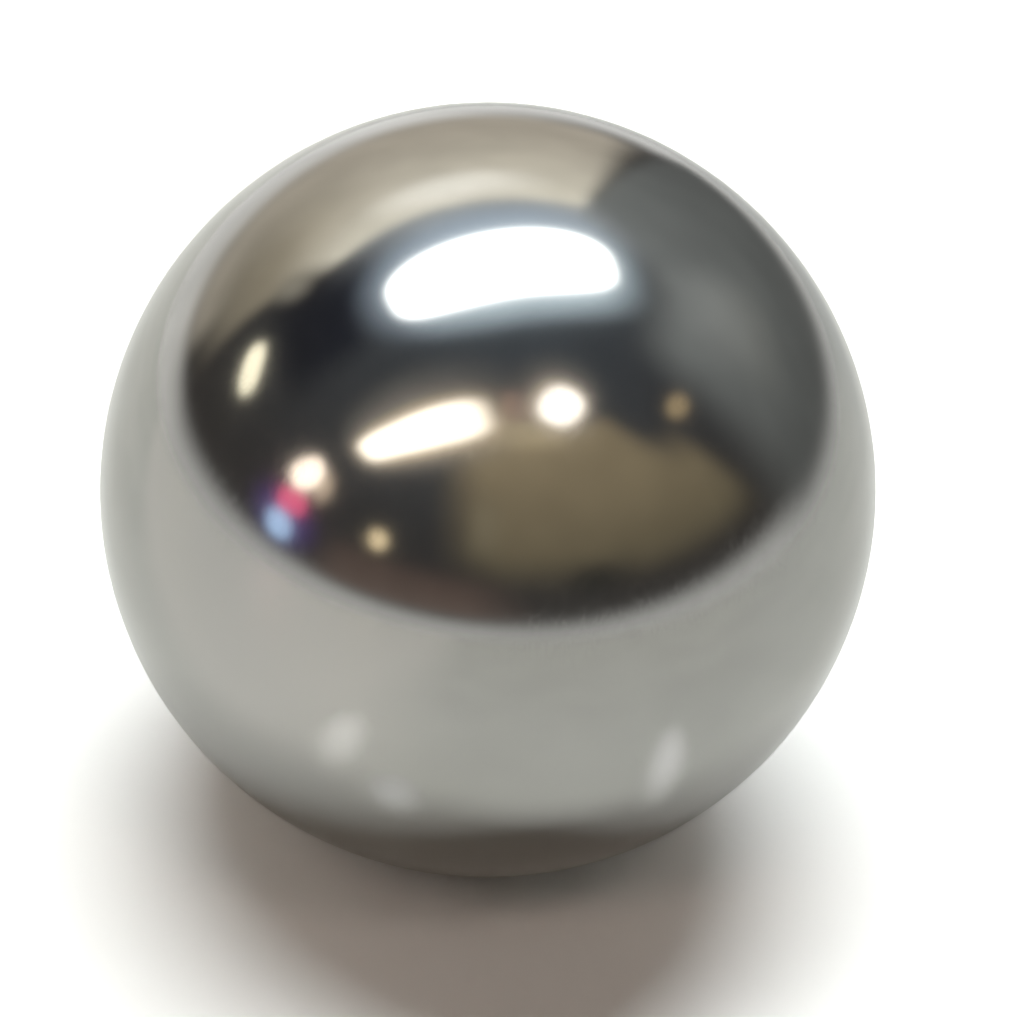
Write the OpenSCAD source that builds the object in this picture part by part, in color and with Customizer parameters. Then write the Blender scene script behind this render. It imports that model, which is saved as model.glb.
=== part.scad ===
// Steel ball: one solid sphere, hardened through, then ground and lapped all over.
// It has no hole, flat, seam or shell. Lengths are in millimetres.
// The origin is the ball's centre, and +Z points up, away from whatever the ball lies on.

/* [Ball] */
// Diameter of the ball, on any line through its centre
ball_d = 20; // [3:0.5:50]

/* [Hidden] */
// Facets round the ball's waist where it is drawn as a mesh
waist_facets = 128;

// The ball is a true sphere about the origin: lapping leaves no other form on it.
module ball() {
    color([0.66, 0.67, 0.67])
        sphere(d = ball_d, $fn = waist_facets);
}

ball();
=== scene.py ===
import math

import bpy
import numpy as np
from mathutils import Matrix, Vector


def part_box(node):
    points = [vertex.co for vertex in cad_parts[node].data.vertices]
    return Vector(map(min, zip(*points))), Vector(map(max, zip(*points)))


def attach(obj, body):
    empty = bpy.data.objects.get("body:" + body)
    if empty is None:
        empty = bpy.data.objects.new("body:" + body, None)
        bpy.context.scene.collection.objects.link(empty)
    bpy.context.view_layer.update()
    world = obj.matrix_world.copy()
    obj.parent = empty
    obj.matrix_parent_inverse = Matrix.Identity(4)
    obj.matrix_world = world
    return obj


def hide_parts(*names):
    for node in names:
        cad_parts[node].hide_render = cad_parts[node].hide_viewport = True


# A bare steel ball, lapped to a mirror, on a white sheet in a studio of glowing cards and lamps.
# Lengths are in metres and angles in degrees. Azimuth 0 is behind the ball (+Y), 90 is to its right (+X).

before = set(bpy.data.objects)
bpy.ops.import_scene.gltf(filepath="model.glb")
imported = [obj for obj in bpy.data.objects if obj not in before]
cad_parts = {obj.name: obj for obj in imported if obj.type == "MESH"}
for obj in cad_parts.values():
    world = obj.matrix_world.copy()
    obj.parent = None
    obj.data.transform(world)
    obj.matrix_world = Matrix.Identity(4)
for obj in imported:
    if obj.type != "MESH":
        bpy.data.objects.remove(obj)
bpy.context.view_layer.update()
scene = bpy.context.scene
scene.view_settings.view_transform = "Standard"
ballLow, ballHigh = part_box("ball")
ballRadius = (ballHigh.z - ballLow.z) / 2
print(f"frame loaded: ball radius {ballRadius * 1000:.2f} mm")


# Mesh helpers

def meshObject(name, points, quads, uv=None):
    # points is (n, 3), quads is (m, 4), and uv gives two numbers for each point
    mesh = bpy.data.meshes.new(name)
    mesh.vertices.add(len(points))
    mesh.vertices.foreach_set("co", points.astype(np.float32).ravel())
    mesh.loops.add(quads.size)
    mesh.loops.foreach_set("vertex_index", quads.astype(np.int32).ravel())
    mesh.polygons.add(len(quads))
    mesh.polygons.foreach_set("loop_start", np.arange(0, quads.size, 4, dtype=np.int32))
    mesh.polygons.foreach_set("use_smooth", np.ones(len(quads), bool))
    if uv is not None:
        layer = mesh.uv_layers.new(name="panel")
        layer.data.foreach_set("uv", uv[quads.ravel()].astype(np.float32).ravel())
    mesh.update(calc_edges=True)
    thing = bpy.data.objects.new(name, mesh)
    scene.collection.objects.link(thing)
    return thing


def gridQuads(rows, columns):
    # Corner numbers of the cells of a grid that is stored row by row
    corner = (np.arange(rows - 1)[:, None] * columns + np.arange(columns - 1)[None, :]).ravel()
    return np.stack([corner, corner + 1, corner + columns + 1, corner + columns], axis=1)


def towards(azimuth, elevation):
    # Unit vector: x = sin(az) cos(el), y = cos(az) cos(el), z = sin(el)
    a, e = np.radians(azimuth), np.radians(elevation)
    return np.stack([np.sin(a) * np.cos(e), np.cos(a) * np.cos(e), np.sin(e) + 0 * a], axis=-1)


# Shader helpers

def addNode(tree, kind, **sockets):
    node = tree.nodes.new(kind)
    for name, value in sockets.items():
        node.inputs[name.replace("_", " ")].default_value = value
    return node


def mathNode(tree, operation, first, second=None):
    node = tree.nodes.new("ShaderNodeMath")
    node.operation = operation
    for socket, value in zip(node.inputs, (first, second)):
        if isinstance(value, (int, float)):
            socket.default_value = value
        elif value is not None:
            tree.links.new(value, socket)
    return node.outputs[0]


def rangeNode(tree, value, fromLow, fromHigh, toLow, toHigh, smooth=False):
    node = tree.nodes.new("ShaderNodeMapRange")
    node.interpolation_type = "SMOOTHSTEP" if smooth else "LINEAR"
    for name, given in zip(("Value", "From Min", "From Max", "To Min", "To Max"),
                           (value, fromLow, fromHigh, toLow, toHigh)):
        if isinstance(given, (int, float)):
            node.inputs[name].default_value = given
        else:
            tree.links.new(given, node.inputs[name])
    return node.outputs["Result"]


def mixColour(tree, factor, first, second):
    node = tree.nodes.new("ShaderNodeMix")
    node.data_type = "RGBA"
    for socket, value in zip((node.inputs[0], node.inputs[6], node.inputs[7]), (factor, first, second)):
        if isinstance(value, bpy.types.NodeSocket):
            tree.links.new(value, socket)
        else:
            socket.default_value = value if isinstance(value, (int, float)) else (*value, 1.0)
    return node.outputs[2]


def newGroup(name, inputs, outputs):
    group = bpy.data.node_groups.new(name, "ShaderNodeTree")
    for label, kind, value in inputs:
        socket = group.interface.new_socket(label, in_out="INPUT", socket_type=kind)
        if value is not None:
            socket.default_value = value
    for label, kind in outputs:
        group.interface.new_socket(label, in_out="OUTPUT", socket_type=kind)
    return group, group.nodes.new("NodeGroupInput"), group.nodes.new("NodeGroupOutput")


def placeGroup(tree, group, **sockets):
    node = tree.nodes.new("ShaderNodeGroup")
    node.node_tree = group
    for name, value in sockets.items():
        socket = node.inputs[name.replace("_", " ")]
        if isinstance(value, bpy.types.NodeSocket):
            tree.links.new(value, socket)
        else:
            socket.default_value = value
    return node


def newMaterial(name):
    material = bpy.data.materials.new(name)
    material.use_nodes = True
    material.node_tree.nodes.clear()
    return material, material.node_tree, material.node_tree.nodes.new("ShaderNodeOutputMaterial")


def raysSeen(tree):
    # Two switches: 1 for rays from the camera, and 1 for rays that a mirror or glass sends on. Both are 0 for
    # rays that only light things.
    path = tree.nodes.new("ShaderNodeLightPath")
    mirrored = mathNode(tree, "MAXIMUM", path.outputs["Is Glossy Ray"], path.outputs["Is Transmission Ray"])
    return path.outputs["Is Camera Ray"], mirrored


def buildDriftGroup():
    # Slow cloudy drift, 0 to 1: soft noise whose middle band is stretched to the full range
    group, given, result = newGroup(
        "slowDrift",
        [("Vector", "NodeSocketVector", None), ("Scale", "NodeSocketFloat", 100.0),
         ("Detail", "NodeSocketFloat", 2.0)],
        [("Drift", "NodeSocketFloat")])
    noise = addNode(group, "ShaderNodeTexNoise", Roughness=0.5)
    for name in ("Vector", "Scale", "Detail"):
        group.links.new(given.outputs[name], noise.inputs[name])
    stretched = rangeNode(group, noise.outputs["Fac"], 0.3, 0.7, 0.0, 1.0, smooth=True)
    group.links.new(stretched, result.inputs["Drift"])
    return group


def buildSoftEdgeGroup():
    # Mask of a panel: 1 inside, falling to 0 at its four edges over the given shares of its width and height.
    # Rise goes from 0 at the foot to 1 at the head, as the height to the power Bend.
    group, given, result = newGroup(
        "softEdges",
        [("UV", "NodeSocketVector", None),
         ("Left", "NodeSocketFloat", 0.1), ("Right", "NodeSocketFloat", 0.1),
         ("Bottom", "NodeSocketFloat", 0.1), ("Top", "NodeSocketFloat", 0.1),
         ("Bend", "NodeSocketFloat", 1.0)],
        [("Mask", "NodeSocketFloat"), ("Rise", "NodeSocketFloat")])
    split = group.nodes.new("ShaderNodeSeparateXYZ")
    group.links.new(given.outputs["UV"], split.inputs[0])
    masks = []
    for axis, lowName, highName in ((0, "Left", "Right"), (1, "Bottom", "Top")):
        along = split.outputs[axis]
        masks.append(rangeNode(group, along, 0.0, given.outputs[lowName], 0.0, 1.0, smooth=True))
        back = mathNode(group, "SUBTRACT", 1.0, along)
        masks.append(rangeNode(group, back, 0.0, given.outputs[highName], 0.0, 1.0, smooth=True))
    sides = mathNode(group, "MULTIPLY", masks[0], masks[1])
    ends = mathNode(group, "MULTIPLY", masks[2], masks[3])
    group.links.new(mathNode(group, "MULTIPLY", sides, ends), result.inputs["Mask"])
    group.links.new(mathNode(group, "POWER", split.outputs[1], given.outputs["Bend"]), result.inputs["Rise"])
    return group


slowDrift = buildDriftGroup()
softEdges = buildSoftEdgeGroup()
print("shader groups built")


# The ball

ball = {
    "cells": 96,  # cells along each edge of the cube that is blown up to the sphere
    "steel": (0.375, 0.372, 0.356),  # reflectance face on
    "steelDrift": (0.360, 0.358, 0.345),
    "edgeTint": (0.92, 0.92, 0.92),  # reflectance near the outline, as a share of what plain metal would give
    "roughness": (0.105, 0.13),  # least and most haze that the lapping leaves
    "hazeScale": 140.0,  # clouds of haze per metre
    "filmScale": 60.0,  # clouds of the steel's two greys per metre
    "markScale": 2600.0,  # lapping marks per metre, across the mark
    "markStretch": 0.03,  # a mark's width as a share of its length
    "markTurns": ((20, 70, 10), (95, 15, 60), (50, 120, 130)),  # the ways that the marks run
    "markWidth": 0.02,  # share of the noise's range that shows as a mark
    "markRoughness": 0.035,  # haze that a mark adds
    "grainScale": 9000.0,  # grains per metre
    "grainHeight": 2.0e-8,  # in metres
}


def ballSurface(radius, cells):
    # Six square grids, a and b from -1 to 1. A point is (tan(45 a), tan(45 b), 1) made one radius long,
    # so that the cells come out nearly equal. The other five faces are the same grid, turned.
    step = np.tan(np.linspace(-1, 1, cells + 1) * math.pi / 4)
    a, b = np.meshgrid(step, step)
    one = np.ones_like(a)
    faces = [(a, b, one), (b, a, -one), (one, a, b), (-one, b, a), (b, one, a), (a, -one, b)]
    points = np.concatenate([np.stack(face, axis=-1).reshape(-1, 3) for face in faces])
    points *= radius / np.linalg.norm(points, axis=1, keepdims=True)
    side = cells + 1
    quads = np.concatenate([gridQuads(side, side) + number * side ** 2 for number in range(6)])
    # Points that two faces share, to a millionth of the radius, become one, which closes the seams
    key = np.round(points / radius * 1e6).astype(np.int64)
    first, place = np.unique(key, axis=0, return_index=True, return_inverse=True)[1:]
    return points[first], place.reshape(-1)[quads]


def lappedSteel(settings):
    material, tree, output = newMaterial("lappedSteel")
    where = tree.nodes.new("ShaderNodeTexCoord").outputs["Object"]
    film = placeGroup(tree, slowDrift, Vector=where, Scale=settings["filmScale"], Detail=3.0)
    haze = placeGroup(tree, slowDrift, Vector=where, Scale=settings["hazeScale"], Detail=4.0)
    film, haze = film.outputs["Drift"], haze.outputs["Drift"]

    # Lapping marks run every way: sets of long thin noise, each kept where it crosses its middle value
    marks = None
    for turn in settings["markTurns"]:
        mapping = tree.nodes.new("ShaderNodeMapping")
        mapping.inputs["Rotation"].default_value = [math.radians(t) for t in turn]
        mapping.inputs["Scale"].default_value = (1.0, 1.0, settings["markStretch"])
        tree.links.new(where, mapping.inputs["Vector"])
        noise = addNode(tree, "ShaderNodeTexNoise", Scale=settings["markScale"], Detail=1.0, Roughness=0.4)
        tree.links.new(mapping.outputs[0], noise.inputs["Vector"])
        away = mathNode(tree, "ABSOLUTE", mathNode(tree, "SUBTRACT", noise.outputs["Fac"], 0.5))
        line = rangeNode(tree, away, 0.0, settings["markWidth"], 1.0, 0.0, smooth=True)
        marks = line if marks is None else mathNode(tree, "MAXIMUM", marks, line)
    marks = mathNode(tree, "MULTIPLY", marks, haze)

    low, high = settings["roughness"]
    roughness = rangeNode(tree, haze, 0.0, 1.0, low, high)
    marked = mathNode(tree, "MULTIPLY", marks, settings["markRoughness"])
    roughness = mathNode(tree, "ADD", roughness, marked)
    grain = addNode(tree, "ShaderNodeTexNoise", Scale=settings["grainScale"], Detail=2.0)
    tree.links.new(where, grain.inputs["Vector"])
    relief = addNode(tree, "ShaderNodeBump", Strength=1.0, Distance=settings["grainHeight"])
    tree.links.new(grain.outputs["Fac"], relief.inputs["Height"])

    edgeTint = (*settings["edgeTint"], 1.0)
    steel = addNode(tree, "ShaderNodeBsdfPrincipled", Metallic=1.0, Specular_Tint=edgeTint)
    colour = mixColour(tree, film, settings["steel"], settings["steelDrift"])
    tree.links.new(colour, steel.inputs["Base Color"])
    tree.links.new(roughness, steel.inputs["Roughness"])
    tree.links.new(relief.outputs["Normal"], steel.inputs["Normal"])
    tree.links.new(steel.outputs[0], output.inputs["Surface"])
    return material


points, quads = ballSurface(ballRadius, ball["cells"])
steelBall = meshObject("steelBall", points, quads)
steelBall.data.normals_split_custom_set_from_vertices((points / ballRadius).tolist())
steelBall.data.materials.append(lappedSteel(ball))
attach(steelBall, "root")
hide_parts("ball")
print(f"ball: {len(points)} points, {len(quads) * 2} triangles")


# The sheet that the ball lies on

sheet = {
    "radius": 10.0,  # in ball radii
    "rings": 48,
    "firstRing": 0.01,  # share of the way out at which the rings start, before it is squared
    "spokes": 96,
    "paper": (0.86, 0.855, 0.84),
    "paperDrift": (0.85, 0.845, 0.825),
    "shown": (1.56, 1.56, 1.56),  # the same paper as the camera sees it, white where it is lit
    "mirrored": (1.09, 1.09, 1.06),  # and as the ball mirrors it, with a slow drift
    "mirroredDrift": (1.01, 1.01, 0.98),
    "mirroredLeftPaintedLight": (1.28, 1.25, 1.22),  # painted light: as the ball mirrors it, it is a little brighter and pinker in front, on the left
    "leftRange": (-1.4, 0.1),  # where that painted light stops growing and where it starts, as X in ball radii
    "frontLean": 0.5,
    "frontRange": (0.9, 1.8),  # and where it starts and stops growing, as -Y - frontLean X
    "mirroredFarPaintedShade": (0.80, 0.81, 0.81),  # painted shade: as the ball mirrors it, it is darker in a wedge behind the ball, on the right
    "farTip": 3.0,  # the X that the wedge runs back from
    "farSlope": 0.9,
    "farRange": (1.5, 5.5),  # where that painted shade starts and stops growing, as Y - farSlope |X - farTip|
    "driftScale": 90.0,  # clouds per metre
    "roughness": 0.45,
}


def sheetSurface(settings, height):
    # Rings of points: the distance grows with the square of the ring's number, and the middle is a tiny ring
    rings, spokes = settings["rings"], settings["spokes"]
    away = settings["radius"] * ballRadius * np.linspace(settings["firstRing"], 1, rings) ** 2
    around = np.linspace(0, 2 * math.pi, spokes, endpoint=False)
    points = np.stack([np.outer(away, np.cos(around)), np.outer(away, np.sin(around)),
                       np.full((rings, spokes), height)], axis=-1).reshape(-1, 3)
    inner = (np.arange(rings - 1)[:, None] * spokes + np.arange(spokes)[None, :]).ravel()
    following = np.where(np.arange(inner.size) % spokes == spokes - 1, inner - spokes + 1, inner + 1)
    quads = np.stack([inner, inner + spokes, following + spokes, following], axis=1)
    return points, quads


def paperMaterial(settings):
    # Smooth white paper. The camera sees it whiter than it is, and so does what mirrors it, a little less,
    # with painted light in front on the left and painted shade in a wedge behind on the right.
    # From below nothing shows, so that a camera under the sheet looks through it.
    material, tree, output = newMaterial("whitePaper")
    where = tree.nodes.new("ShaderNodeTexCoord").outputs["Object"]
    drift = placeGroup(tree, slowDrift, Vector=where, Scale=settings["driftScale"], Detail=2.0)
    drift = drift.outputs["Drift"]
    camera, mirror = raysSeen(tree)
    plain = mixColour(tree, drift, settings["paper"], settings["paperDrift"])
    mirrored = mixColour(tree, drift, settings["mirrored"], settings["mirroredDrift"])
    split = tree.nodes.new("ShaderNodeSeparateXYZ")
    tree.links.new(where, split.inputs[0])
    x, y = split.outputs["X"], split.outputs["Y"]
    # Painted light on the mirrored paper: a brighter, pinker pool in front of the ball, on the left
    start, stop = [share * ballRadius for share in settings["leftRange"]]
    leftward = rangeNode(tree, x, start, stop, 1.0, 0.0, smooth=True)
    start, stop = [share * ballRadius for share in settings["frontRange"]]
    forward = mathNode(tree, "SUBTRACT", mathNode(tree, "MULTIPLY", x, -settings["frontLean"]), y)
    forward = rangeNode(tree, forward, start, stop, 0.0, 1.0, smooth=True)
    paintedLightMask = mathNode(tree, "MULTIPLY", leftward, forward)
    mirrored = mixColour(tree, paintedLightMask, mirrored, settings["mirroredLeftPaintedLight"])
    # Painted shade on the mirrored paper: darker in a wedge behind the ball, on the right
    start, stop = [share * ballRadius for share in settings["farRange"]]
    aside = mathNode(tree, "ABSOLUTE", mathNode(tree, "SUBTRACT", x, settings["farTip"] * ballRadius))
    paintedShadeWedge = mathNode(tree, "SUBTRACT", y, mathNode(tree, "MULTIPLY", aside, settings["farSlope"]))
    paintedShadeWedge = rangeNode(tree, paintedShadeWedge, start, stop, 0.0, 1.0, smooth=True)
    mirrored = mixColour(tree, paintedShadeWedge, mirrored, settings["mirroredFarPaintedShade"])
    colour = mixColour(tree, camera, mixColour(tree, mirror, plain, mirrored), settings["shown"])
    paper = addNode(tree, "ShaderNodeBsdfPrincipled", Roughness=settings["roughness"])
    tree.links.new(colour, paper.inputs["Base Color"])
    clear = tree.nodes.new("ShaderNodeBsdfTransparent")
    mix = tree.nodes.new("ShaderNodeMixShader")
    tree.links.new(tree.nodes.new("ShaderNodeNewGeometry").outputs["Backfacing"], mix.inputs[0])
    tree.links.new(paper.outputs[0], mix.inputs[1])
    tree.links.new(clear.outputs[0], mix.inputs[2])
    tree.links.new(mix.outputs[0], output.inputs["Surface"])
    return material


points, quads = sheetSurface(sheet, ballLow.z)
paperSheet = meshObject("paperSheet", points, quads)
paperSheet.data.materials.append(paperMaterial(sheet))
print("sheet laid")


# The studio: a dark surround, glowing panels on it, and lamps

studio = {
    "surroundDistance": 4.5,
    "surroundCells": (144, 30),  # round it, and from its rim to overhead
    "surroundLow": (0.070, 0.060, 0.052),  # its glow at the rim and overhead
    "surroundHigh": (0.110, 0.130, 0.155),
    "rim": -2.15,  # elevation of the surround's lower rim, and how far two slow waves move it
    "rimWaves": ((0.8, 0.55), (-0.65, 0.3)),
    "rimSoft": (6.0, 12.0),  # how many degrees the rim takes to fade in, in front of the ball and behind it
    "rimShare": 0.1,  # share of the surround's cells that this takes
    "panelDistance": 4.2,
    "panelCells": (32, 16),
    "panelStep": 0.02,  # each panel is this much nearer than the one before it
    "lightingPanels": ("ceilingGlow", "warmWallSide"),  # these light the sheet too
    "lampHeight": 2.0,
    "farLampDistance": 3.7,
    "lampStep": 0.01,
    "lampCells": (8, 64),  # from the middle to the outline, and round it
    "lampMiddle": 1e-3,  # the cells start this share of the way out
    "stripTaper": 0.08,  # the long lamp is wider at its right end than at its left
    "poolHeight": 0.0002,  # above the sheet
    "poolRoundness": 2.0,  # 2 is an ellipse, and more is squarer
    "hardEdge": 1e-6,  # softness of an edge that doesn't fade
    "mottle": 0.06,  # share by which every glow varies, in clouds of mottleScale per metre
    "mottleScale": 1.3,
    "worldLight": (0.031, 0.026, 0.022),  # what the world beyond adds to the light
    "worldMirrored": (0.93, 0.93, 0.91),  # and what the ball mirrors of it
}


def domePoints(u, v, corners, bulge, distance):
    # A patch of a dome. u runs along it and v up it, both 0 to 1. Azimuth and elevation are blended from
    # the corners (foot left, foot right, head left, head right), and bulge lifts the middle of the head.
    foot = [a + (b - a) * u for a, b in zip(*corners[:2])]
    head = [a + (b - a) * u for a, b in zip(*corners[2:])]
    azimuth = foot[0] + (head[0] - foot[0]) * v
    elevation = foot[1] + (head[1] - foot[1]) * v + bulge * 4 * u * (1 - u) * v
    return towards(azimuth, elevation) * distance


def cardPoints(rho, angle, centre, across, along, roundness, taper):
    # A flat card with the outline |x/across|^n + |y/along|^n = 1: the point at share rho of the way out is
    # centre + rho (across sgn(cos t) |cos t|^(2/n) + along sgn(sin t) |sin t|^(2/n)).
    # Taper makes the card higher by that share at its right end, and lower at its left end.
    c, s = np.cos(angle), np.sin(angle)
    x = np.sign(c) * np.abs(c) ** (2 / roundness) * rho
    y = np.sign(s) * np.abs(s) ** (2 / roundness) * rho * (1 + taper * x)
    return centre + x[..., None] * across + y[..., None] * along


def glowMaterial(name, low, high, power, edges, bend=1.0, sampled=False):
    # Even glow that goes from low at the foot to high at the head, faintly mottled, and fades at its edges
    material, tree, output = newMaterial(name)
    uv = tree.nodes.new("ShaderNodeUVMap")
    uv.uv_map = "panel"
    mask = placeGroup(tree, softEdges, UV=uv.outputs[0], Left=edges[0], Right=edges[1],
                      Bottom=edges[2], Top=edges[3], Bend=bend)
    where = tree.nodes.new("ShaderNodeTexCoord").outputs["Object"]
    mottle = placeGroup(tree, slowDrift, Vector=where, Scale=studio["mottleScale"], Detail=3.0)
    weakest, strongest = power * (1 - studio["mottle"]), power * (1 + studio["mottle"])
    strength = rangeNode(tree, mottle.outputs["Drift"], 0.0, 1.0, weakest, strongest)
    glow = tree.nodes.new("ShaderNodeEmission")
    tree.links.new(mixColour(tree, mask.outputs["Rise"], low, high), glow.inputs["Color"])
    tree.links.new(strength, glow.inputs["Strength"])
    clear = tree.nodes.new("ShaderNodeBsdfTransparent")
    mix = tree.nodes.new("ShaderNodeMixShader")
    tree.links.new(mask.outputs["Mask"], mix.inputs[0])
    tree.links.new(clear.outputs[0], mix.inputs[1])
    tree.links.new(glow.outputs[0], mix.inputs[2])
    tree.links.new(mix.outputs[0], output.inputs["Surface"])
    material.cycles.emission_sampling = "FRONT_BACK" if sampled else "NONE"
    return material


def addGlow(name, points, uv, material, lights=False, mirrored=True):
    # points is (rows, columns, 3). The camera looks past every glow. The ball mirrors it where mirrored is
    # set, and it lights the sheet where lights is set.
    panel = meshObject(name, points.reshape(-1, 3), gridQuads(*points.shape[:2]), uv.reshape(-1, 2))
    panel.data.materials.append(material)
    panel.visible_camera = False
    panel.visible_shadow = False
    panel.visible_diffuse = lights
    panel.visible_glossy = mirrored


def cellCorners(cells):
    # u and v, 0 to 1, at the corners of a grid of cells
    return np.meshgrid(np.linspace(0, 1, cells[0] + 1), np.linspace(0, 1, cells[1] + 1))


def surroundPoints(u, v, distance):
    # A dome from its rim to overhead. The rim's elevation is a mean plus waves: a cos(k az) + b sin(k az),
    # for k = 1 and 2. The first share of v spans the degrees in which the rim fades in, and the rest goes on
    # to overhead.
    azimuth = u * 360 - 180
    front, behind = studio["rimSoft"]
    soft = front + (behind - front) * (1 + np.cos(np.radians(azimuth))) / 2
    rim = studio["rim"] - soft / 2
    for k, (a, b) in enumerate(studio["rimWaves"], 1):
        rim = rim + a * np.cos(np.radians(k * azimuth)) + b * np.sin(np.radians(k * azimuth))
    share = studio["rimShare"]
    fading = rim + soft * v / share
    above = rim + soft + (90 - rim - soft) * (v - share) / (1 - share)
    return towards(azimuth, np.where(v < share, fading, above)) * distance


hard = studio["hardEdge"]
u, v = cellCorners(studio["surroundCells"])
addGlow("surround", surroundPoints(u, v, studio["surroundDistance"]), np.stack([u, v], axis=-1),
        glowMaterial("surround", studio["surroundLow"], studio["surroundHigh"], 1.0,
                     (hard, hard, studio["rimShare"], hard)))

# Panels on the surround: corners (azimuth, elevation) at foot left, foot right, head left, head right; bulge;
# glow at the foot and at the head; bend of that change; softness of the left, right, bottom and top edges
panels = {
    "darkSide": (((-112, 24), (-60, 24), (-112, 58), (-56, 58)), 0,
                 (0.040, 0.040, 0.046), (0.030, 0.034, 0.052), 1.0, (0.3, 0.1, 0.3, 0.3)),
    "ceilingGlow": (((-82, 40), (60, 40), (-62, 67), (42, 67)), 5,
                    (0.70, 0.76, 0.82), (0.80, 0.86, 0.94), 1.0, (0.35, 0.25, 0.3, 0.3)),
    "paleFoot": (((-92, -20), (18, -20), (-84, 1), (14, 17)), 0,
                 (1.30, 1.30, 1.28), (1.02, 1.00, 0.95), 1.0, (0.36, 0.25, 0.1, 0.3)),
    "warmWall": (((-67, -2), (11, -3), (-68, 43), (22, 51)), 9,
                 (0.80, 0.72, 0.60), (1.95, 1.86, 1.58), 2.2, (0.12, 0.07, 0.20, 0.12)),
    "warmWallSide": (((-76, 1), (-18, 1), (-68, 43), (-24, 45)), 0,
                     (0.28, 0.25, 0.20), (0.98, 0.86, 0.64), 1.2, (0.13, 0.75, 0.4, 0.5)),
    "greyWall": (((9, -12), (94, -10), (18.5, 58), (104, 62)), 0,
                 (0.14, 0.145, 0.14), (0.45, 0.48, 0.48), 1.0, (0.045, 0.28, 0.18, 0.25)),
    "greyStreak": (((40, 10), (78, 10), (41, 50), (83, 50)), 0,
                   (0.30, 0.31, 0.29), (0.66, 0.69, 0.69), 1.0, (0.4, 0.45, 0.4, 0.5)),
    "oliveSide": (((86, 4), (140, 4), (107, 41), (140, 42)), 0,
                  (0.17, 0.15, 0.10), (0.52, 0.42, 0.27), 0.8, (0.2, 0.2, 0.35, 0.4)),
    "oliveCard": (((84, 4), (193, 4), (128, 53), (205, 54)), 0,
                  (0.17, 0.15, 0.10), (0.61, 0.49, 0.31), 0.8, (0.13, 0.24, 0.28, 0.10)),
    "paleStreak": (((172, 12), (187, 12), (173, 36), (187, 36)), 0,
                   (0.30, 0.26, 0.175), (0.50, 0.42, 0.28), 1.0, (0.45, 0.45, 0.4, 0.4)),
    "lowWarm": (((-204, -3), (-127, -3), (-190, 13), (-134, 13)), 0,
                (0.26, 0.19, 0.16), (0.16, 0.115, 0.10), 1.0, (0.35, 0.2, 0.15, 0.5)),
    "betweenGlow": (((144, 44), (190, 44), (146, 57), (186, 57)), 0,
                    (0.8, 0.64, 0.40), (1.2, 1.0, 0.64), 1.0, (0.2, 0.2, 0.4, 0.3)),
    "redBetween": (((160, 53), (181, 53), (162, 65), (180, 65)), 0,
                   (0.72, 0.46, 0.35), (0.78, 0.46, 0.36), 1.0, (0.2, 0.2, 0.3, 0.4)),
}
u, v = cellCorners(studio["panelCells"])
for number, (name, (corners, bulge, low, high, bend, edges)) in enumerate(panels.items()):
    points = domePoints(u, v, corners, bulge, studio["panelDistance"] - studio["panelStep"] * number)
    lights = name in studio["lightingPanels"]
    addGlow(name, points, np.stack([u, v], axis=-1),
            glowMaterial(name, low, high, 1.0, edges, bend, sampled=lights), lights)

# Lamps: centre and half size in lamp heights on the ceiling, turn, roundness, colour, power, softness
ceilingLamps = {
    "softboxGlow": ((-0.10, 0.27), (0.82, 0.47), 20, 2.4, (0.64, 0.80, 1.0), 1.25, 0.65),
    "softboxHalo": ((0.035, 0.200), (0.70, 0.36), 21, 2.8, (0.74, 0.90, 1.0), 1.6, 0.65),
    "softbox": ((-0.068, 0.225), (0.574, 0.225), 20.5, 3.1, (0.94, 0.98, 1.0), 8.2, 0.15),
    "stripHalo": ((-0.56, -0.86), (0.96, 0.50), 22, 2.2, (1.0, 0.92, 0.82), 0.50, 0.85),
    "stripGlow": ((-0.56, -0.89), (0.79, 0.28), 22, 2.8, (1.0, 0.74, 0.46), 1.2, 0.6),
    "strip": ((-0.57, -0.875), (0.64, 0.168), 22, 4.0, (1.0, 0.90, 0.76), 5.4, 0.30),
    "spotHalo": ((0.31, -0.49), (0.33, 0.30), -15, 2.2, (1.0, 0.92, 0.82), 0.38, 0.85),
    "spotGlow": ((0.33, -0.53), (0.23, 0.21), -15, 2.2, (1.0, 0.80, 0.60), 1.5, 0.7),
    "spot": ((0.338, -0.525), (0.145, 0.143), -15, 2.4, (1.0, 0.93, 0.84), 4.6, 0.30),
}
# The lamps' light on the sheet comes from smaller cards of its own, because a lamp shows larger than it is
sheetLamps = {
    "softboxLight": ((-0.045, 0.17), (0.51, 0.14), 20, 3.0, (0.96, 1.0, 0.98), 12.4, 0.15),
    "stripLight": ((-0.55, -0.87), (0.56, 0.16), 20, 2.7, (1.0, 0.75, 0.62), 2.1, 0.15),
    "spotLight": ((0.345, -0.535), (0.15, 0.15), -15, 2.2, (1.0, 0.82, 0.72), 3.4, 0.3),
}
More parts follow.
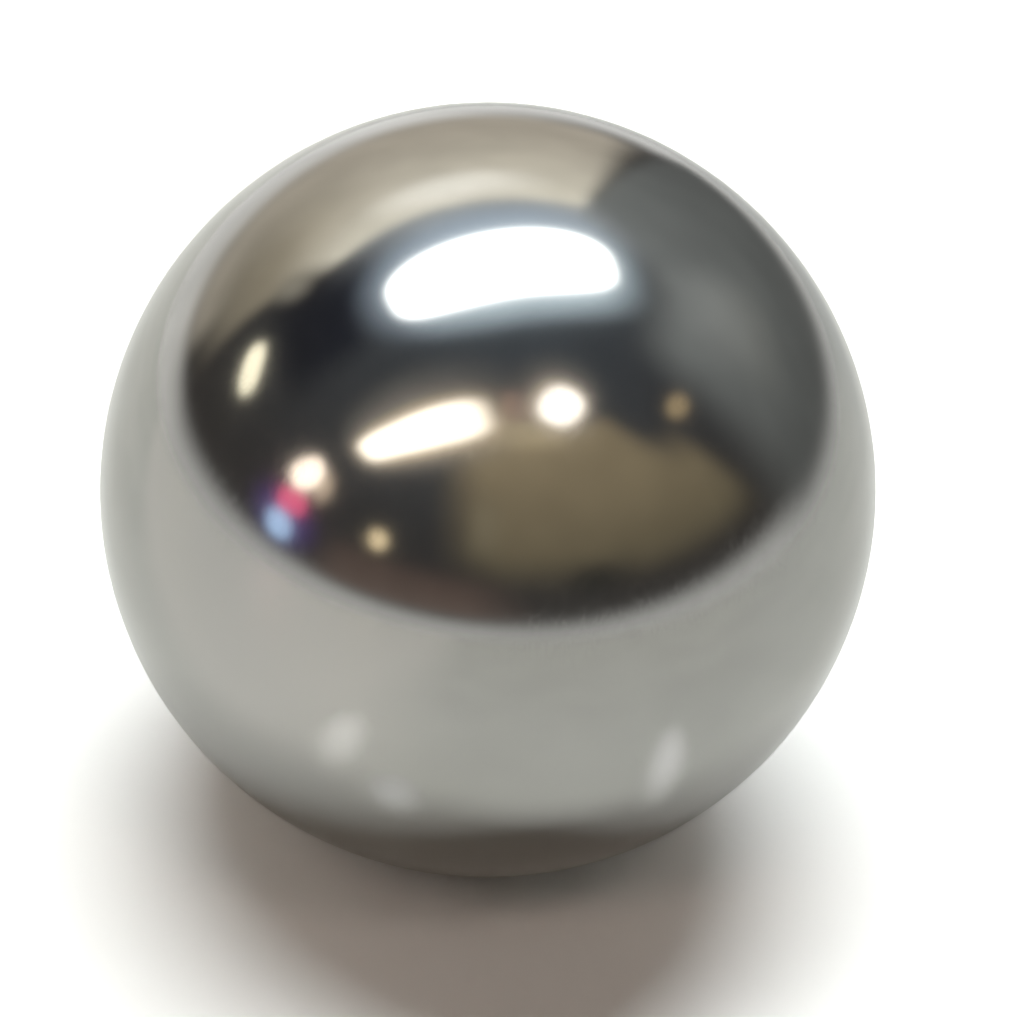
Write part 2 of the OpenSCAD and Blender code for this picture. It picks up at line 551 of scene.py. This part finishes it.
# Lamps far off: azimuth and elevation, half width and height in degrees, lean, roundness, colour, power,
# softness
farLamps = {
    "wallGlow": ((-19, 45), (22, 9), 4, 2.2, (1.0, 0.97, 0.88), 2.15, 0.9),
    "wallCorner": ((-67, 33), (6, 8), 20, 2.0, (1.0, 0.93, 0.78), 0.55, 1.0),
    "leftLamp": ((-85.0, 21.4), (7.3, 4.2), 36, 2.6, (1.0, 0.93, 0.71), 3.4, 0.38),
    "lowLampSide": ((-129, 19), (4.8, 6.5), 0, 2.0, (1.0, 0.78, 0.58), 1.3, 0.85),
    "lowLamp": ((-122.6, 19.3), (6.8, 5.0), -48, 2.6, (1.0, 0.84, 0.70), 4.6, 0.45),
    "farSpot": ((-150.2, 13.6), (4.4, 4.3), 0, 2.0, (1.0, 0.80, 0.50), 2.3, 0.75),
    "dimLamp": ((100.8, 40.0), (6.0, 4.1), 12, 2.0, (1.0, 0.76, 0.45), 0.85, 0.7),
    "darkNotch": ((147, 9), (12, 6), 0, 2.0, (0.06, 0.06, 0.055), 1.0, 0.9),
    "haze": ((-121.5, 6), (15, 10), 0, 2.0, (0.42, 0.26, 1.0), 0.48, 1.0),
    "pinkLight": ((-122.2, 10.8), (6.4, 4.4), -15, 3.0, (1.0, 0.14, 0.30), 2.0, 0.5),
    "blueLight": ((-121, 3.8), (6.2, 5), 0, 2.2, (0.48, 0.68, 1.0), 2.2, 0.6),
}


def addLamp(name, centre, across, along, roundness, colour, power, soft, lights=False):
    # A card that the ball mirrors, or one that only lights the sheet where lights is set
    taper = studio["stripTaper"] if name.startswith("strip") else 0.0
    rings, spokes = studio["lampCells"]
    rho, angle = np.meshgrid(np.linspace(studio["lampMiddle"], 1, rings + 1),
                             np.linspace(0, 2 * math.pi, spokes + 1), indexing="ij")
    points = cardPoints(rho, angle, np.array(centre), np.array(across), np.array(along), roundness, taper)
    # The glow is full at u = 0 and fades out over the given share before the outline, at u = 1
    uv = np.stack([rho, 0.5 + 0 * rho], axis=-1)
    material = glowMaterial(name, colour, colour, power, (hard, soft, hard, hard), sampled=lights)
    addGlow(name, points, uv, material, lights, not lights)


overhead = {**ceilingLamps, **sheetLamps}
for number, (name, (centre, half, turn, roundness, colour, power, soft)) in enumerate(overhead.items()):
    height = studio["lampHeight"]
    t = math.radians(turn)
    addLamp(name, (centre[0] * height, centre[1] * height, height - studio["lampStep"] * number),
            (math.cos(t) * half[0] * height, math.sin(t) * half[0] * height, 0),
            (-math.sin(t) * half[1] * height, math.cos(t) * half[1] * height, 0),
            roundness, colour, power, soft, name in sheetLamps)

for number, (name, (place, half, lean, roundness, colour, power, soft)) in enumerate(farLamps.items()):
    distance = studio["farLampDistance"] - studio["lampStep"] * number
    out = towards(*place)
    right = np.array([math.cos(math.radians(place[0])), -math.sin(math.radians(place[0])), 0])
    up = np.cross(right, out)
    t = math.radians(lean)
    wide, tall = [distance * math.tan(math.radians(h)) for h in half]
    addLamp(name, out * distance, (right * math.cos(t) + up * math.sin(t)) * wide,
            (up * math.cos(t) - right * math.sin(t)) * tall, roundness, colour, power, soft)

# Three faint pools of light on the sheet, beside and in front of the ball, which show only in its lower
# half. Azimuth, distance from the ball's foot in ball radii, azimuth of the pool's length, half width and
# half length, colour, power, softness
lightPools = {
    "poolLeft": (-154.5, 1.79, -166.0, (0.22, 0.57), (1.0, 0.99, 0.95), 1.55, 0.95),
    "poolFront": (-167.0, 1.28, -167.0, (0.2, 0.26), (1.0, 1.0, 0.98), 1.02, 1.0),
    "poolRight": (131.1, 1.62, 131.1, (0.20, 0.62), (1.0, 1.0, 0.99), 1.40, 0.95),
}
for name, (azimuth, away, lean, half, colour, power, soft) in lightPools.items():
    middle = towards(azimuth, 0) * ballRadius * away
    out = towards(lean, 0) * ballRadius
    side = np.array([out[1], -out[0], 0])
    middle[2] = ballLow.z + studio["poolHeight"]
    addLamp(name, middle, side * half[0], out * half[1], studio["poolRoundness"], colour, power, soft)

world = bpy.data.worlds.new("whiteSurround")
world.use_nodes = True
tree = world.node_tree
camera, mirror = raysSeen(tree)
colour = mixColour(tree, mirror, studio["worldLight"], studio["worldMirrored"])
backdrop = tree.nodes["Background"]
tree.links.new(mixColour(tree, camera, colour, (1.0, 1.0, 1.0)), backdrop.inputs["Color"])
backdrop.inputs["Strength"].default_value = 1.0
scene.world = world
print("studio set")


# The camera

view = {
    "frame": (1034, 1017),  # width and height of the picture, in pixels
    "centre": (488.3, 490.3),  # where the ball's centre shows, in pixels from the top left
    "outline": 388.0,  # radius of the ball's outline, in pixels
    "distance": 8.0,  # from the ball's centre, in ball radii
    "elevation": 34.8,
    "roll": 6.7,
    "sensor": 36.0,  # in millimetres
    "clip": (0.001, 20.0),
}


def addCamera(settings):
    wide, tall = settings["frame"]
    focal = settings["outline"] / math.tan(math.asin(1 / settings["distance"]))  # in pixels
    e, r = math.radians(settings["elevation"]), math.radians(settings["roll"])
    back = Vector((0, -math.cos(e), math.sin(e)))
    level = Vector((1, 0, 0))
    right = level * math.cos(r) + back.cross(level) * math.sin(r)
    up = back.cross(right)
    place = back * settings["distance"] * ballRadius
    # The lens looks past the ball, so that the ball shows off the middle of the picture
    offRight = (wide / 2 - settings["centre"][0]) / focal
    offUp = (settings["centre"][1] - tall / 2) / focal
    back = (back - right * offRight - up * offUp).normalized()
    right = (right - back * right.dot(back)).normalized()
    up = back.cross(right)
    camera = bpy.data.objects.new("camera", bpy.data.cameras.new("camera"))
    camera.data.sensor_width = settings["sensor"]
    camera.data.lens = focal * settings["sensor"] / wide
    camera.data.clip_start, camera.data.clip_end = settings["clip"]
    camera.matrix_world = Matrix.Translation(place) @ Matrix((right, up, back)).transposed().to_4x4()
    scene.collection.objects.link(camera)
    scene.camera = camera
    return focal


focal = addCamera(view)
print(f"camera set: focal length {focal:.0f} pixels")

print("scene built")
